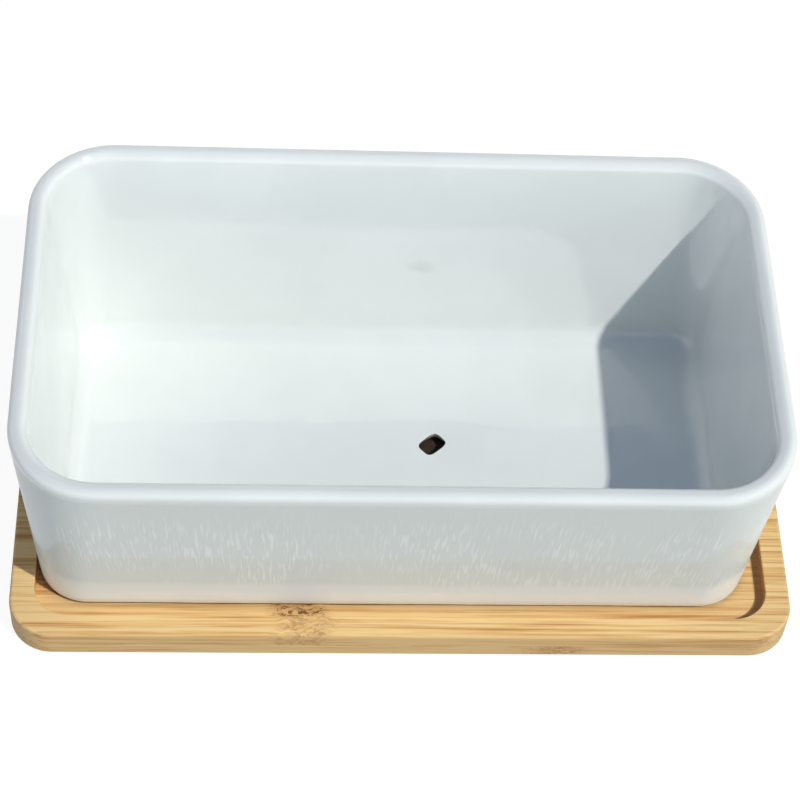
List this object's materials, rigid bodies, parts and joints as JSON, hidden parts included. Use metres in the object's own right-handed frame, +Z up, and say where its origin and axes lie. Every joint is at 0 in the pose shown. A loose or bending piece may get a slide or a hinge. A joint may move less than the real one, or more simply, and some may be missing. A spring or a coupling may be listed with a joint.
{
  "type": "indoor herb planter",
  "caption": "Rectangular glazed ceramic herb pot with tapered walls, rounded corners and a drain hole, standing in the shallow recess of a laminated bamboo tray.",
  "frame": {"origin": "middle of the tray's underside, on the surface that the planter stands on", "axes": "+X along the long side, +Y from the front to the back, +Z up"},
  "size_m": [0.2726, 0.1544, 0.0925],
  "materials": {
    "glaze": "glossy white glaze",
    "bamboo": "satin clear-sealed bamboo"
  },
  "bodies": {
    "tray": {"upper_strip_1": "bamboo", "upper_strip_2": "bamboo", "upper_strip_3": "bamboo", "upper_strip_4": "bamboo", "upper_strip_5": "bamboo", "upper_strip_6": "bamboo", "upper_strip_7": "bamboo", "upper_strip_8": "bamboo", "lower_strip_1": "bamboo", "lower_strip_2": "bamboo", "lower_strip_3": "bamboo", "lower_strip_4": "bamboo", "lower_strip_5": "bamboo", "lower_strip_6": "bamboo", "lower_strip_7": "bamboo", "lower_strip_8": "bamboo", "lower_strip_9": "bamboo"},
    "pot": {"ceramic_pot": "glaze"}
  },
  "joints": [
    {"name": "pot_lift", "type": "slide", "parent": "tray", "child": "pot", "axis": [0, 0, 1], "range_m": [0, 0.06]}
  ]
}
